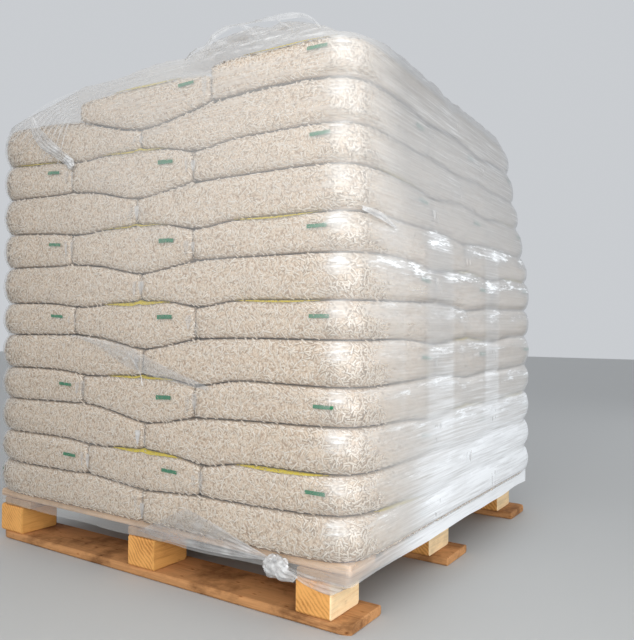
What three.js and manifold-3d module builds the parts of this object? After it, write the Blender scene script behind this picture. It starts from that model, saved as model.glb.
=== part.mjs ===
// Pallet of sacks: 70 clear sacks of wood pellets in twelve layers on a nine-block wooden pallet,
// held by stretch film. Millimetres, +Z up. The origin is on the floor, under the middle of the deck,
// with the long front side facing -Y.
import * as THREE from "three";
import { mergeVertices } from "three/addons/utils/BufferGeometryUtils.js";
import Module from "manifold-3d";

const wasm = await Module();
wasm.setup();

// Pallet
const DECK_SIDE = 1200;
const BOARD_THICK = 22;
const BLOCK_HEIGHT = 78;
const BLOCK_X = { left: -550, middle: -7, right: 511 };
const BLOCK_Y = { front: -540, middle: -40, rear: 503 };
const BLOCK_WIDE = { left: 100, middle: 92, right: 90 };
const BLOCK_DEEP = { front: 120, middle: 132, rear: 122 };
const BOTTOM_BOARD_WIDE = 143;
const BOTTOM_BOARD_Y = { front: -528.5, middle: -18.5, rear: 522.5 };
const BOTTOM_CORNER_X = 30;
const BOTTOM_CORNER_Y = 15;
const STRINGER_WIDE = 124;
const STRINGER_X = { left: -522, middle: 8, right: 530 };
const DECK_BOARDS = 8;
const DECK_BOARD_WIDE = 118;

const BLOCK_BOTTOM = BOARD_THICK;
const STRINGER_BOTTOM = BLOCK_BOTTOM + BLOCK_HEIGHT;
const DECK_BOTTOM = STRINGER_BOTTOM + BOARD_THICK;
const DECK_TOP = DECK_BOTTOM + BOARD_THICK;

// Load
const LAYERS = 12;
const LAYER_PITCH = 91.5;
const LOAD_HALF = 620;
const REST_GAP = 0.3;
const PRESS = 6;
const SACK_CORNER = 46;
const EDGE_IN = 30;
const EDGE_HIGH = 35;
const LOAD_TOP = DECK_TOP + LAYERS * LAYER_PITCH;

// Joints of a layer that shows its sacks' ends at the front, and of one that shows their sides
const END_JOINTS_X = [-250, 180];
const END_JOINT_Y = 0;
const SIDE_JOINT_X = -22;
const SIDE_JOINTS_Y = [-207, 207];

// The load draws in towards the top of its rear right corner, and rises towards the left of its top
const LEAN_FROM = 780;
const LEAN_X = 60;
const LEAN_Y = 80;
const RISE_FROM = 690;
const RISE_TO = LOAD_TOP - LAYER_PITCH;
const RISE = 50;

// Stretch film
const FILM_THICK = 1.5;
const FILM_HEM = 104;
const FILM_CLEAR = 3.5;
const FILM_ROUND = 42;
const DECK_ROUND = 6;
const FILM_OVERLAP = 150;
const FILM_ABOVE = 4;
const FILM_EDGE_IN = 12;
const FILM_EDGE_TO = 80;
const TOP_ROUND = 20;
const FILM_ROWS_Z = [LEAN_FROM, 900, 1020, 1130];
const SLOPE_START_X = -233;
const LIP = { high: 32, x: 480, runX: 120, y: -520, runY: 200 };
const HUMP = { high: 72, left: 130, right: 570, y: 400, runY: 180 };
const HUMP_TAPER = 0.9;
const KNOT = { x: 432, z: 121, wide: 62, high: 44, deep: 26 };

const material = (name, color, roughness, options = {}) =>
  new THREE.MeshStandardMaterial({ name, color, roughness, metalness: 0, ...options });
const boardWood = material("board_wood", 0xb98a55, 0.8);
const blockWood = material("block_wood", 0xd9a766, 0.85);
const sackMaterial = material("sack", 0xcdbca8, 0.5);
const filmMaterial = material("film", 0xdfe3e2, 0.2, { transparent: true, opacity: 0.35 });

const object = new THREE.Group();

function addPiece(name, geometry, meshMaterial, [x, y, z]) {
  const mesh = new THREE.Mesh(geometry, meshMaterial);
  mesh.name = name;
  mesh.position.set(x, y, z);
  object.add(mesh);
}

// Pallet pieces
function bottomBoardShape(side) {
  const half = DECK_SIDE / 2;
  const wide = BOTTOM_BOARD_WIDE / 2;
  const shape = new THREE.Shape();
  if (side === 0) {
    shape.moveTo(-half, -wide);
    shape.lineTo(half, -wide);
    shape.lineTo(half, wide);
    shape.lineTo(-half, wide);
  } else {
    shape.moveTo(-half, -side * wide);
    shape.lineTo(half, -side * wide);
    shape.lineTo(half, side * (wide - BOTTOM_CORNER_Y));
    shape.lineTo(half - BOTTOM_CORNER_X, side * wide);
    shape.lineTo(-half + BOTTOM_CORNER_X, side * wide);
    shape.lineTo(-half, side * (wide - BOTTOM_CORNER_Y));
  }
  shape.closePath();
  return shape;
}

function addBottomBoards() {
  const outerSide = { front: -1, middle: 0, rear: 1 };
  for (const [row, y] of Object.entries(BOTTOM_BOARD_Y)) {
    const shape = bottomBoardShape(outerSide[row]);
    const geometry = new THREE.ExtrudeGeometry(shape, { depth: BOARD_THICK, bevelEnabled: false });
    addPiece(`bottom_board_${row}`, geometry, boardWood, [0, y, 0]);
  }
}

function addBlocks() {
  for (const [row, y] of Object.entries(BLOCK_Y)) {
    for (const [column, x] of Object.entries(BLOCK_X)) {
      const geometry = new THREE.BoxGeometry(BLOCK_WIDE[column], BLOCK_DEEP[row], BLOCK_HEIGHT);
      const z = BLOCK_BOTTOM + BLOCK_HEIGHT / 2;
      addPiece(`block_${row}_${column}`, geometry, blockWood, [x, y, z]);
    }
  }
}

function addStringers() {
  for (const [column, x] of Object.entries(STRINGER_X)) {
    const geometry = new THREE.BoxGeometry(STRINGER_WIDE, DECK_SIDE, BOARD_THICK);
    addPiece(`stringer_board_${column}`, geometry, boardWood, [x, 0, STRINGER_BOTTOM + BOARD_THICK / 2]);
  }
}

function addDeckBoards() {
  const pitch = (DECK_SIDE - DECK_BOARD_WIDE) / (DECK_BOARDS - 1);
  for (let i = 0; i < DECK_BOARDS; i += 1) {
    const geometry = new THREE.BoxGeometry(DECK_SIDE, DECK_BOARD_WIDE, BOARD_THICK);
    const y = -DECK_SIDE / 2 + DECK_BOARD_WIDE / 2 + i * pitch;
    addPiece(`deck_board_${i + 1}`, geometry, boardWood, [0, y, DECK_BOTTOM + BOARD_THICK / 2]);
  }
}

// How far a value has come from a start over a run, from 0 to 1
const share = (value, start, run) => Math.min(1, Math.max(0, (value - start) / run));

// Where a point of the load or its film goes when the top of the load draws in and rises
function settled(x, y, z) {
  const high = Math.max(0, (z - LEAN_FROM) / (LOAD_TOP - LEAN_FROM));
  const right = (x + LOAD_HALF) / (2 * LOAD_HALF);
  const rear = (y + LOAD_HALF) / (2 * LOAD_HALF);
  const inwards = high * right * rear;
  const up = RISE * share(z, RISE_FROM, RISE_TO - RISE_FROM) * (1 - right);
  return [x - LEAN_X * inwards, y - LEAN_Y * inwards, z + up];
}

function solidOf(geometry) {
  const bare = geometry.clone();
  bare.deleteAttribute("normal");
  bare.deleteAttribute("uv");
  const merged = mergeVertices(bare, 1e-3);
  return new wasm.Manifold(
    new wasm.Mesh({
      numProp: 3,
      vertProperties: new Float32Array(merged.attributes.position.array),
      triVerts: new Uint32Array(merged.index.array),
    }),
  );
}

function geometryOf(solid) {
  const mesh = solid.getMesh();
  const points = new Float32Array((mesh.vertProperties.length / mesh.numProp) * 3);
  for (let i = 0; i < points.length / 3; i += 1) {
    const [x, y, z] = mesh.vertProperties.slice(i * mesh.numProp, i * mesh.numProp + 3);
    points.set(settled(x, y, z), i * 3);
  }
  const geometry = new THREE.BufferGeometry();
  geometry.setAttribute("position", new THREE.BufferAttribute(points, 3));
  geometry.setIndex([...mesh.triVerts]);
  geometry.computeVertexNormals();
  return geometry;
}

// One filled sack: flat where it lies on the next, with swelling sides and blunt corners
function sackGeometry(x0, x1, y0, y1, bottom) {
  const [left, right] = [x0 + EDGE_IN, x1 - EDGE_IN];
  const [front, rear] = [y0 + EDGE_IN, y1 - EDGE_IN];
  const cut = SACK_CORNER - EDGE_IN * (2 - Math.SQRT2);
  const shape = new THREE.Shape();
  shape.moveTo(left + cut, front);
  shape.lineTo(right - cut, front);
  shape.lineTo(right, front + cut);
  shape.lineTo(right, rear - cut);
  shape.lineTo(right - cut, rear);
  shape.lineTo(left + cut, rear);
  shape.lineTo(left, rear - cut);
  shape.lineTo(left, front + cut);
  shape.closePath();
  const high = LAYER_PITCH - REST_GAP;
  const geometry = new THREE.ExtrudeGeometry(shape, {
    depth: high - 2 * EDGE_HIGH,
    bevelThickness: EDGE_HIGH,
    bevelSize: EDGE_IN,
    bevelSegments: 2,
  });
  geometry.translate(0, 0, bottom + REST_GAP + EDGE_HIGH);
  return geometry;
}

// The sacks of one layer, pressed against each other along the joints
function layerSolid(xJoints, yJoints, bottom, firstColumn) {
  const xs = [-LOAD_HALF, ...xJoints, LOAD_HALF];
  const ys = [-LOAD_HALF, ...yJoints, LOAD_HALF];
  const pressed = (edges, i, side) => {
    const atOutside = (side < 0 && i === 0) || (side > 0 && i === edges.length - 1);
    return edges[i] + (atOutside ? 0 : side * PRESS);
  };
  let layer = null;
  for (let i = firstColumn; i < xs.length - 1; i += 1) {
    for (let j = 0; j < ys.length - 1; j += 1) {
      const sack = solidOf(
        sackGeometry(
          pressed(xs, i, -1),
          pressed(xs, i + 1, 1),
          pressed(ys, j, -1),
          pressed(ys, j + 1, 1),
          bottom,
        ),
      );
      layer = layer ? layer.add(sack) : sack;
    }
  }
  return layer;
}

function addSackLayers() {
  for (let i = 0; i < LAYERS; i += 1) {
    const endsAtFront = i % 2 === 1;
    const isTop = i === LAYERS - 1;
    const xJoints = endsAtFront ? END_JOINTS_X : [SIDE_JOINT_X];
    const yJoints = endsAtFront ? [END_JOINT_Y] : SIDE_JOINTS_Y;
    const solid = layerSolid(xJoints, yJoints, DECK_TOP + i * LAYER_PITCH, isTop ? 1 : 0);
    const name = `sack_layer_${String(i + 1).padStart(2, "0")}`;
    addPiece(name, geometryOf(solid), sackMaterial, [0, 0, 0]);
  }
}

// The height of what the film lies on: it slopes down where the top layer's left sacks are missing
function loadTopAt(x) {
  const down = share(-x, -SLOPE_START_X, SLOPE_START_X + LOAD_HALF);
  return LOAD_TOP - LAYER_PITCH * down;
}

// How far the loose film stands up over the load's edge: a lip along the right, a hump at the front
function looseLift(x, y) {
  const lip = LIP.high * share(x, LIP.x, LIP.runX) * share(y, LIP.y, LIP.runY);
  const across = share(x, HUMP.left, HUMP.right - HUMP.left);
  const hump = HUMP.high * Math.sin(Math.PI * across) * share(-y, HUMP.y, HUMP.runY);
  return Math.max(lip, hump);
}

// The film's plan outline, anticlockwise: places along the flat sides and directions round the corners
function filmOutline() {
  const frontStops = [-430, SLOPE_START_X, -60, HUMP.left, 240, 350, 460];
  const rearStops = [400, 200, -60, SLOPE_START_X, -430];
  const sideStops = [-400, -130, 130, 400];
  const corner = (sx, sy, from) =>
    [0, 1, 2].map((k) => {
      const angle = from + (k * Math.PI) / 4;
      return { sx, sy, nx: Math.cos(angle), ny: Math.sin(angle) };
    });
  return [
    ...frontStops.map((x) => ({ x, sy: -1, nx: 0, ny: -1 })),
    ...corner(1, -1, -Math.PI / 2),
    ...sideStops.map((y) => ({ sx: 1, y, nx: 1, ny: 0 })),
    ...corner(1, 1, 0),
    ...rearStops.map((x) => ({ x, sy: 1, nx: 0, ny: 1 })),
    ...corner(-1, 1, Math.PI / 2),
    ...[...sideStops].reverse().map((y) => ({ sx: -1, y, nx: -1, ny: 0 })),
    ...corner(-1, -1, Math.PI),
  ];
}

// The film's section from its bottom hem up the side and over the top edge: its half width, the radius
// of its corners, its height above the floor or the local top, and its share of the loose lift
function filmSection() {
  const deck = DECK_SIDE / 2 + FILM_CLEAR;
  const load = LOAD_HALF + FILM_CLEAR;
  return [
    { half: deck, round: DECK_ROUND, z: FILM_HEM },
    { half: deck, round: DECK_ROUND, z: DECK_TOP },
    { half: load, round: FILM_ROUND, z: DECK_TOP + EDGE_HIGH / 3 },
    ...FILM_ROWS_Z.map((z) => ({ half: load, round: FILM_ROUND, z })),
    { half: load, round: FILM_ROUND, z: -EDGE_HIGH, onTop: true, lift: 0 },
    { half: load - FILM_EDGE_IN, round: FILM_ROUND - FILM_EDGE_IN, z: FILM_ABOVE, onTop: true, lift: 1 },
    { half: load - FILM_EDGE_TO, round: TOP_ROUND, z: FILM_ABOVE, onTop: true, lift: HUMP_TAPER },
    { half: load - FILM_OVERLAP, round: TOP_ROUND, z: FILM_ABOVE, onTop: true, lift: 0 },
  ];
}

function filmPoint(spot, row, inwards) {
  const centre = row.half - row.round;
  const x = (spot.x ?? spot.sx * centre) + spot.nx * row.round * (spot.x === undefined ? 1 : 0);
  const y = (spot.y ?? spot.sy * centre) + spot.ny * row.round * (spot.y === undefined ? 1 : 0);
  const base = row.onTop ? loadTopAt(x) + row.lift * looseLift(x, y) : 0;
  return new THREE.Vector3(x, y, base + row.z).addScaledVector(inwards, FILM_THICK);
}

// The inward direction of the film's section at a row: square to the section there
function inwardAt(spot, rows, i) {
  const before = filmPoint(spot, rows[Math.max(0, i - 1)], new THREE.Vector3());
  const after = filmPoint(spot, rows[Math.min(rows.length - 1, i + 1)], new THREE.Vector3());
  const along = after.sub(before).normalize();
  const around = new THREE.Vector3(-spot.ny, spot.nx, 0);
  return along.cross(around).normalize();
}

function addFilmWrap() {
  const outline = filmOutline();
  const rows = filmSection();
  const points = [];
  const none = new THREE.Vector3();
  for (const spot of outline) {
    const outside = rows.map((row) => filmPoint(spot, row, none));
    const inside = rows.map((row, i) => filmPoint(spot, row, inwardAt(spot, rows, i)));
    points.push(...outside, ...inside.reverse());
  }
  const ring = rows.length * 2;
  const positions = points.flatMap((p) => settled(p.x, p.y, p.z));
  const faces = [];
  for (let i = 0; i < outline.length; i += 1) {
    const next = (i + 1) % outline.length;
    for (let k = 0; k < ring; k += 1) {
      const up = (k + 1) % ring;
      const [a, b, c, d] = [i * ring + k, next * ring + k, next * ring + up, i * ring + up];
      faces.push(a, b, c, a, c, d);
    }
  }
  const geometry = new THREE.BufferGeometry();
  geometry.setAttribute("position", new THREE.Float32BufferAttribute(positions, 3));
  geometry.setIndex(faces);
  geometry.computeVertexNormals();
  addPiece("film_wrap", geometry, filmMaterial, [0, 0, 0]);
}

// The knot that ends the film, against the film at the deck's front edge
function addFilmKnot() {
  const profile = new THREE.Shape();
  profile.absellipse(0, 0, KNOT.wide / 2, KNOT.high / 2, 0, Math.PI * 2, false, 0);
  const bevel = KNOT.deep / 2;
  const geometry = new THREE.ExtrudeGeometry(profile, {
    depth: KNOT.deep - bevel,
    curveSegments: 6,
    bevelThickness: bevel,
    bevelSize: bevel,
    bevelOffset: -bevel,
    bevelSegments: 2,
  });
  geometry.rotateX(Math.PI / 2);
  const front = -DECK_SIDE / 2 - FILM_CLEAR - REST_GAP - bevel;
  addPiece("film_knot", geometry, filmMaterial, [KNOT.x, front, KNOT.z]);
}

addBottomBoards();
addBlocks();
addStringers();
addDeckBoards();
addSackLayers();
addFilmWrap();
addFilmKnot();

export default object;
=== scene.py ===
"""Looks of the pallet of sacks: clear sacks of wood pellets on a block pallet, held by stretch film.

Metres, +Z up, in the frame of the CAD model: the front faces -Y and the deck's middle is over the origin.
"""

import math

import bpy
import numpy as np
from mathutils import Matrix, Vector, noise


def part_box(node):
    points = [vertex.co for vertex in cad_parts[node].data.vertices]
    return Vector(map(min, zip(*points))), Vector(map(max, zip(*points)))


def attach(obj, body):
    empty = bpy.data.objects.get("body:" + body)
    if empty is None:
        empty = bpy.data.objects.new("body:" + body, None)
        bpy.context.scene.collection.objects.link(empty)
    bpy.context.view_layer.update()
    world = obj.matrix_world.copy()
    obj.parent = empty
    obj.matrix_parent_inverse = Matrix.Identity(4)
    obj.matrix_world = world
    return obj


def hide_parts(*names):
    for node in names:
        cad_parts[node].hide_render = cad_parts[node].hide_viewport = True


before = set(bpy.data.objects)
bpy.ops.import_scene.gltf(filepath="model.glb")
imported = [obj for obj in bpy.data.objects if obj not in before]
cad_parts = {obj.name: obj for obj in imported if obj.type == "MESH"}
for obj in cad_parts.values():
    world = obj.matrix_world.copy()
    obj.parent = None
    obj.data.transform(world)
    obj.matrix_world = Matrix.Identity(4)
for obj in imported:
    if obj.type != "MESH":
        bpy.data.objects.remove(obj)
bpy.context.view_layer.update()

# Camera of the photograph
CAMERA_PLACE = (1.311, -1.811, 0.629)
CAMERA_YAW = math.radians(33.247)
CAMERA_PITCH = math.radians(90.605)
CAMERA_ROLL = math.radians(0.436)
CAMERA_LENS = 38.86

# Load, as in the CAD model: it leans in to its rear right and rises to its upper left
LAYERS = 12
HALF = 0.620
DECK_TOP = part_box("deck_board_1")[1].z
DECK_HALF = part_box("deck_board_1")[1].x
PITCH = 0.0915
TOP = DECK_TOP + LAYERS * PITCH
ALL_LAYERS = range(1, LAYERS + 1)
LEAN_FROM = 0.780
LEAN_X = 0.060
LEAN_Y = 0.080
RISE_FROM = 0.690
RISE_TO = TOP - PITCH
RISE = 0.055
RISE_POWER = 1.8
OUTWARD = {"front": (0, -1, 0), "right": (1, 0, 0), "rear": (0, 1, 0), "left": (-1, 0, 0)}

# Joints between the sacks of each layer, counted from the deck: even layers show ends at the front
JOINTS_X = {
    1: (0.011,),
    2: (-0.195, 0.203),
    3: (0.016,),
    4: (-0.218, 0.182),
    5: (0.009,),
    6: (-0.255, 0.183),
    7: (-0.001,),
    8: (-0.271, 0.172),
    9: (-0.018,),
    10: (-0.272, 0.171),
    11: (-0.006,),
    12: (-0.239, 0.226),
}
SIDE_JOINTS_Y = (-0.207, 0.207)
END_JOINTS_Y = (0.0,)

# Tops of the layers: the depth and width of the dips over joints, and of the rise into the joints above
LEFT_END_DIP = (0.009, 0.08)
RIGHT_END_DIP = (0.018, 0.075)
SIDE_DIP = (0.030, 0.125)
SIDE_DIP_AT = {1: (0.016, 0.125), LAYERS - 1: (0.042, 0.18)}
INNER_END_DIP = (0.012, 0.1)
INNER_SIDE_DIP = (0.014, 0.1)
TOP_DIP = (0.006, 0.03)
TOP_INNER_DIP = (0.010, 0.05)
JOINT_ABOVE = (0.005, 0.013)
END_LOW = 0.004
SIDE_HIGH = 0.001
UNEVEN = 0.003

# The last layer's tops: how far they are below the plain stack at the right, the middle and the left
TOP_LOW = (0.008, 0.028, 0.038)

# Sacks: rounded edges, corners and gaps, and the points round each sack and the rings up it
CORNER_OUT = 0.075
CORNER_IN = 0.013
EDGE = 0.0108
EDGE_POWER = 4.0
CORNER_DEEP = 0.013
CORNER_LEAST = 0.006
SKIN_GAP = 0.0005
FILL_GAP = 0.0042
CLOSE_GAP = 0.0014
CROWN = 0.012
FLAT_RINGS = (1.0, 0.55, 0.15)
FILL_STEPS, FILL_RINGS = (3, 8, 8), 7
SKIN_STEPS, SKIN_RINGS = (4, 12, 12), 11
SPOT_STEPS, SPOT_RINGS = (10, 50, 50), 17

# Pellets: their sizes, the mean distance between them, and how they lie at the sack's skin and its seams
PELLET_RADIUS = 0.0028
PELLET_SHORT = 0.008
PELLET_LONG = 0.020
PELLET_CELL = 0.0083
PELLET_TAPER = 0.0012
PELLET_SUNK = (-0.0024, -0.0004)
PELLET_TILT = 0.12
PELLET_TONE = (0.62, 0.2)
SHOWN_DEPTH = 0.02
SEAM_ROOM = 0.018
SEAM_SPIN = 0.06

# Prints: each bar's distance from its sack's right edge, and the yellow marks that show at the front
BAR_FROM_EDGE = (0.07, 0.09, 0.087)
BAR_WIDE = 0.05
BAR_HIGH = 0.095
YELLOW_WIDE = 0.24
PRINT_OUT = 0.0006
YELLOW_AT_FRONT = {
    2: (0, 0.9, 0.7),
    4: (0, 0.4, 0),
    6: (0, 1, 0.5),
    8: (0, 0.1, 0.7),
    10: (0.1, 0.35, 0),
    12: (0.5, 0.3),
}

# Stretch film
FILM_OUT = 0.0030
FILM_HEM = 0.104
FILM_LOW_ROWS = (FILM_HEM, 0.118, 0.132, 0.143, 0.147)
FILM_ROWS_FROM = 0.152
FILM_ROW = 0.0078
FILM_FOLLOW = 0.7
CORNER_FOLLOW = 0.95
FILM_STEPS = (7, 46, 46)
FILM_BANDS_Y = (-0.488, -0.4, -0.275, -0.104, 0.123, 0.255)
FRONT_VEIL = (0.02, 0.04, 0.2)
CORNER_VEIL = 0.1
# Veil on the sides off the front, and how much more of it lies low down as painted light
SIDE_VEIL_AND_LOW_LIGHT = (0.27, 0.5)
HEM_VEIL = 0.14
REAR_SHARE = 0.6
LEFT_SHARE = 0.5
# Height of the band where the film's sides get most painted highlight
PAINTED_GLINT_Z = 0.8
FILM_SCALE_FROM = 1.0
FILM_TIGHT_CORNER = 0.012
SLOPE_START_X = JOINTS_X[LAYERS][0] + 0.017
OVER_TOP = 0.15
TOP_ROWS = 34
LIP = 0.016
HUMP = 0.046
HUMP_LEFT = 0.14
HUMP_RIGHT = 0.57
KNOT_ROUND, KNOT_ROWS = 60, 34

# Looks of the timber: grain axis, light and dark colour, and the shares of the grime and the knots
WOODS = {
    "bottom_board_wood": ("x", (0.56, 0.28, 0.115), (0.26, 0.11, 0.04), 0.95, 0.8),
    "deck_board_wood": ("x", (0.8, 0.55, 0.34), (0.5, 0.3, 0.16), 0.4, 0.3),
    "stringer_wood": ("y", (0.5, 0.32, 0.18), (0.28, 0.16, 0.08), 0.5, 0.6),
    "block_side_wood": ("y", (0.66, 0.34, 0.1), (0.44, 0.2, 0.055), 0.3, 0.3),
    # A paler copy of the blocks' side wood for the right column's blocks: painted light from the right
    "lit_side_wood": ("y", (0.95, 0.73, 0.44), (0.8, 0.54, 0.28), 0.3, 0.2),
}
END_GRAIN = ((0.76, 0.38, 0.115), (0.42, 0.17, 0.04))

# Boards, blocks and nails
BOARD_WORN = 0.0022
BOARD_ROUGH = 0.0008
BOARD_ENDS = (0, 0.0025, 0.010, 0.020)
BOTTOM_CORNER_X = 0.030
BOTTOM_CORNER_Y = 0.015
NAIL_SPOTS = ((0.28, 0.3), (0.28, 0.7), (0.72, 0.3), (0.72, 0.7))
NAIL_INNER = 0.0022
NAIL_RIM = 0.004
NAIL_SIDES = 12

# Studio: each light's place, aim, size, power and colour
FLOOR_SIDE = 14
FLOOR_COLOUR = (0.5, 0.505, 0.5, 1)
SKY_COLOUR = (0.89, 0.92, 0.96, 1)
SKY_STRENGTH = 0.66
LIGHTS = {
    "key": ((1.3, -2.3, 1.65), (0.1, -0.5, 0.8), (2.2, 1.8), 42, (1, 0.99, 0.97)),
    "window": ((3.3, -1.5, 0.5), (0.6, -0.3, 0.25), (2.2, 1.0), 36, (0.97, 0.985, 1)),
    "back_window": ((2.6, 3.4, 1.5), (0.6, 0.0, 0.7), (1.8, 2.0), 18, (0.97, 0.985, 1)),
}

SEED = 20
rng = np.random.default_rng(SEED)


# Mesh helpers
def new_object(name, data):
    made = bpy.data.objects.new(name, data)
    bpy.context.scene.collection.objects.link(made)
    return made


def add_mesh(name, points, faces, materials, smooth=True, attributes=None, face_material=None):
    """A piece from an array of points and an array of faces, or a list of faces of any size."""
    mesh = bpy.data.meshes.new(name)
    if isinstance(faces, np.ndarray):
        count, corners = faces.shape
        mesh.vertices.add(len(points))
        mesh.vertices.foreach_set("co", np.asarray(points, np.float32).ravel())
        mesh.loops.add(count * corners)
        mesh.loops.foreach_set("vertex_index", faces.astype(np.int32).ravel())
        mesh.polygons.add(count)
        mesh.polygons.foreach_set("loop_start", np.arange(0, count * corners, corners, dtype=np.int32))
    else:
        mesh.from_pydata([tuple(p) for p in points], [], faces)
    for label, values in (attributes or {}).items():
        layer = mesh.attributes.new(label, "FLOAT", "POINT")
        layer.data.foreach_set("value", np.asarray(values, np.float32).ravel())
    for material in materials:
        mesh.materials.append(material)
    if face_material is not None:
        mesh.polygons.foreach_set("material_index", np.asarray(face_material, np.int32))
    mesh.update(calc_edges=True)
    mesh.validate()
    mesh.polygons.foreach_set("use_smooth", [smooth] * len(mesh.polygons))
    piece = new_object(name, mesh)
    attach(piece, "root")
    return piece


def grid_faces(rows, columns, closed=False, start=0):
    """Quads between the points of a grid of rows and columns, as indices."""
    wide = columns if closed else columns - 1
    i, j = np.meshgrid(np.arange(rows - 1), np.arange(wide), indexing="ij")
    k = (j + 1) % columns
    quads = np.stack([i * columns + j, i * columns + k, (i + 1) * columns + k, (i + 1) * columns + j], -1)
    return quads.reshape(-1, 4) + start


def join_grids(grids):
    """The points and the faces of several grids of points, as one mesh."""
    points, faces = [], []
    for grid in grids:
        faces.append(grid_faces(*grid.shape[:2], start=sum(map(len, points))))
        points.append(grid.reshape(-1, 3))
    return np.concatenate(points), np.concatenate(faces)


def wobble(points, scale, seed):
    """A smooth noise value from about -1 to 1 at each point."""
    shift = Vector((seed * 17.3, seed * 7.1, seed * 3.7))
    flat = np.asarray(points).reshape(-1, 3)
    values = [noise.noise(Vector(p) * scale + shift) for p in flat]
    return np.array(values).reshape(np.asarray(points).shape[:-1])


def wobble_at(x, y, z, seed):
    """The same noise at places whose coordinates come one by one, already scaled."""
    return wobble(np.stack(np.broadcast_arrays(x, y, z), -1), 1.0, seed)


def creases(points, scale, seed):
    """Sharp folds: 1 on a crease, falling away on both sides of it."""
    coarse = 1 - 2 * np.abs(wobble(points, scale, seed))
    fine = 1 - 2 * np.abs(wobble(points, scale * 2.3, seed + 5))
    return 0.65 * coarse + 0.35 * fine


def ease(value, start, run):
    """0 before the start, 1 after the run, and a smooth slope between."""
    t = np.clip((value - start) / run, 0, 1)
    return t * t * (3 - 2 * t)


# Shape of the load
def drawn_in(x, y, z):
    """The load draws in towards the top of its rear right corner."""
    high = np.maximum(0, (z - LEAN_FROM) / (TOP - LEAN_FROM))
    corner = (x + HALF) / (2 * HALF) * (y + HALF) / (2 * HALF)
    return x - LEAN_X * high * corner, y - LEAN_Y * high * corner


def rise_at(z, x):
    """How far the load stands above its plain stack, more towards its upper left."""
    share = np.clip((z - RISE_FROM) / (RISE_TO - RISE_FROM), 0, 1)
    return RISE * share * (np.clip(HALF - x, 0, None) / (2 * HALF)) ** RISE_POWER


def ends_at_front(layer):
    """True for a layer whose sacks lie front to back."""
    return layer % 2 == 0


def joints(layer):
    return JOINTS_X[layer], END_JOINTS_Y if ends_at_front(layer) else SIDE_JOINTS_Y


def bell(value, middle, width):
    """1 at the middle, falling smoothly to 0 on both sides of it."""
    return np.exp(-(((value - middle) / width) ** 2))


def dips(places, at, depth, width):
    return sum(depth * bell(at, place, width) for place in places)


def level(layer, x, y):
    """The height between a layer and the next one up. Layer 0 is the deck."""
    plain = DECK_TOP + layer * PITCH
    z = plain + rise_at(plain, x)
    if layer == 0:
        return z
    xs, ys = joints(layer)
    if layer == LAYERS:
        right_low, middle_low, left_low = TOP_LOW
        more = (middle_low - right_low) + (left_low - middle_low) * ease(-x, 0.0, 0.2)
        lower = right_low + more * ease(xs[1] + 0.008 - x, 0, 0.012)
        return z - lower - dips(xs, x, *TOP_DIP) - dips(ys, y, *TOP_INNER_DIP)
    if ends_at_front(layer):
        left, right = xs
        z = z - END_LOW - dips((left,), x - 0.03, *LEFT_END_DIP) - dips((right,), x - 0.01, *RIGHT_END_DIP)
        z = z - dips(ys, y, *INNER_END_DIP)
    else:
        side_dip = SIDE_DIP_AT.get(layer, SIDE_DIP)
        z = z + SIDE_HIGH - dips(xs, x, *side_dip) - dips(ys, y, *INNER_SIDE_DIP)
    xs, ys = joints(layer + 1)
    z = z + dips(xs, x, *JOINT_ABOVE) + dips(ys, y, *JOINT_ABOVE)
    return z + UNEVEN * np.sin(9 * x + 2.1 * layer) * np.cos(8 * y - 1.3 * layer)


def sack_spots(layer):
    """The plan corners of each sack of a layer: x0, x1, y0, y1."""
    xs, ys = joints(layer)
    xs = (-HALF, *xs, HALF)
    ys = (-HALF, *ys, HALF)
    first = 1 if layer == LAYERS else 0
    columns = range(first, len(xs) - 1)
    return [(xs[i], xs[i + 1], ys[j], ys[j + 1]) for i in columns for j in range(len(ys) - 1)]


def on_face(value):
    """True for a coordinate that lies on one of the load's own faces."""
    return abs(abs(value) - HALF) < 1e-6


def corner_radii(spot):
    """A sack's plan corners, anticlockwise from the lower right: wide on the load's own corners."""
    x0, x1, y0, y1 = spot
    places = ((x1, y0), (x1, y1), (x0, y1), (x0, y0))
    outer = [on_face(x) and on_face(y) for x, y in places]
    return [CORNER_OUT if out else CORNER_IN for out in outer]


def plan_outline(spot, inset, radii, steps):
    """Rings of points and outward normals round a rounded rectangle, anticlockwise, one ring per inset."""
    x0, x1, y0, y1 = spot
    arc, x_steps, y_steps = steps
    inset = np.asarray(inset, float)[:, None]
    arcs = []
    for side, (sx, sy) in enumerate(((1, -1), (1, 1), (-1, 1), (-1, -1))):
        turn = (side - 1) * math.pi / 2 + np.linspace(0, math.pi / 2, arc + 1)
        normal = np.stack([np.cos(turn), np.sin(turn)], -1)
        radius = np.maximum(radii[side] - inset, CORNER_LEAST)
        centre_x = (x1 if sx > 0 else x0) - sx * (inset + radius)
        centre_y = (y1 if sy > 0 else y0) - sy * (inset + radius)
        points = np.stack([centre_x + radius * normal[:, 0], centre_y + radius * normal[:, 1]], -1)
        arcs.append((points, normal))
    rows, normals = [], []
    for side, (points, normal) in enumerate(arcs):
        rows.append(points)
        normals.append(normal)
        after = arcs[(side + 1) % 4][0][:, :1]
        count = y_steps if side % 2 == 0 else x_steps
        share = (np.arange(1, count) / count)[None, :, None]
        rows.append(points[:, -1:] * (1 - share) + after * share)
        normals.append(np.repeat(normal[-1:], count - 1, axis=0))
    rows, normals = np.concatenate(rows, 1), np.concatenate(normals)
    return rows, np.broadcast_to(normals, rows.shape)


def side_profile(count):
    """A sack's side from its bottom edge to its top edge: how far in, and its share of the height."""
    turn = np.linspace(-math.pi / 2, math.pi / 2, count)
    power = 2 / EDGE_POWER
    inset = EDGE * (1 - np.clip(np.cos(turn), 0, 1) ** power)
    share = 0.5 + 0.5 * np.sign(turn) * np.abs(np.sin(turn)) ** power
    return inset, share


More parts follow.
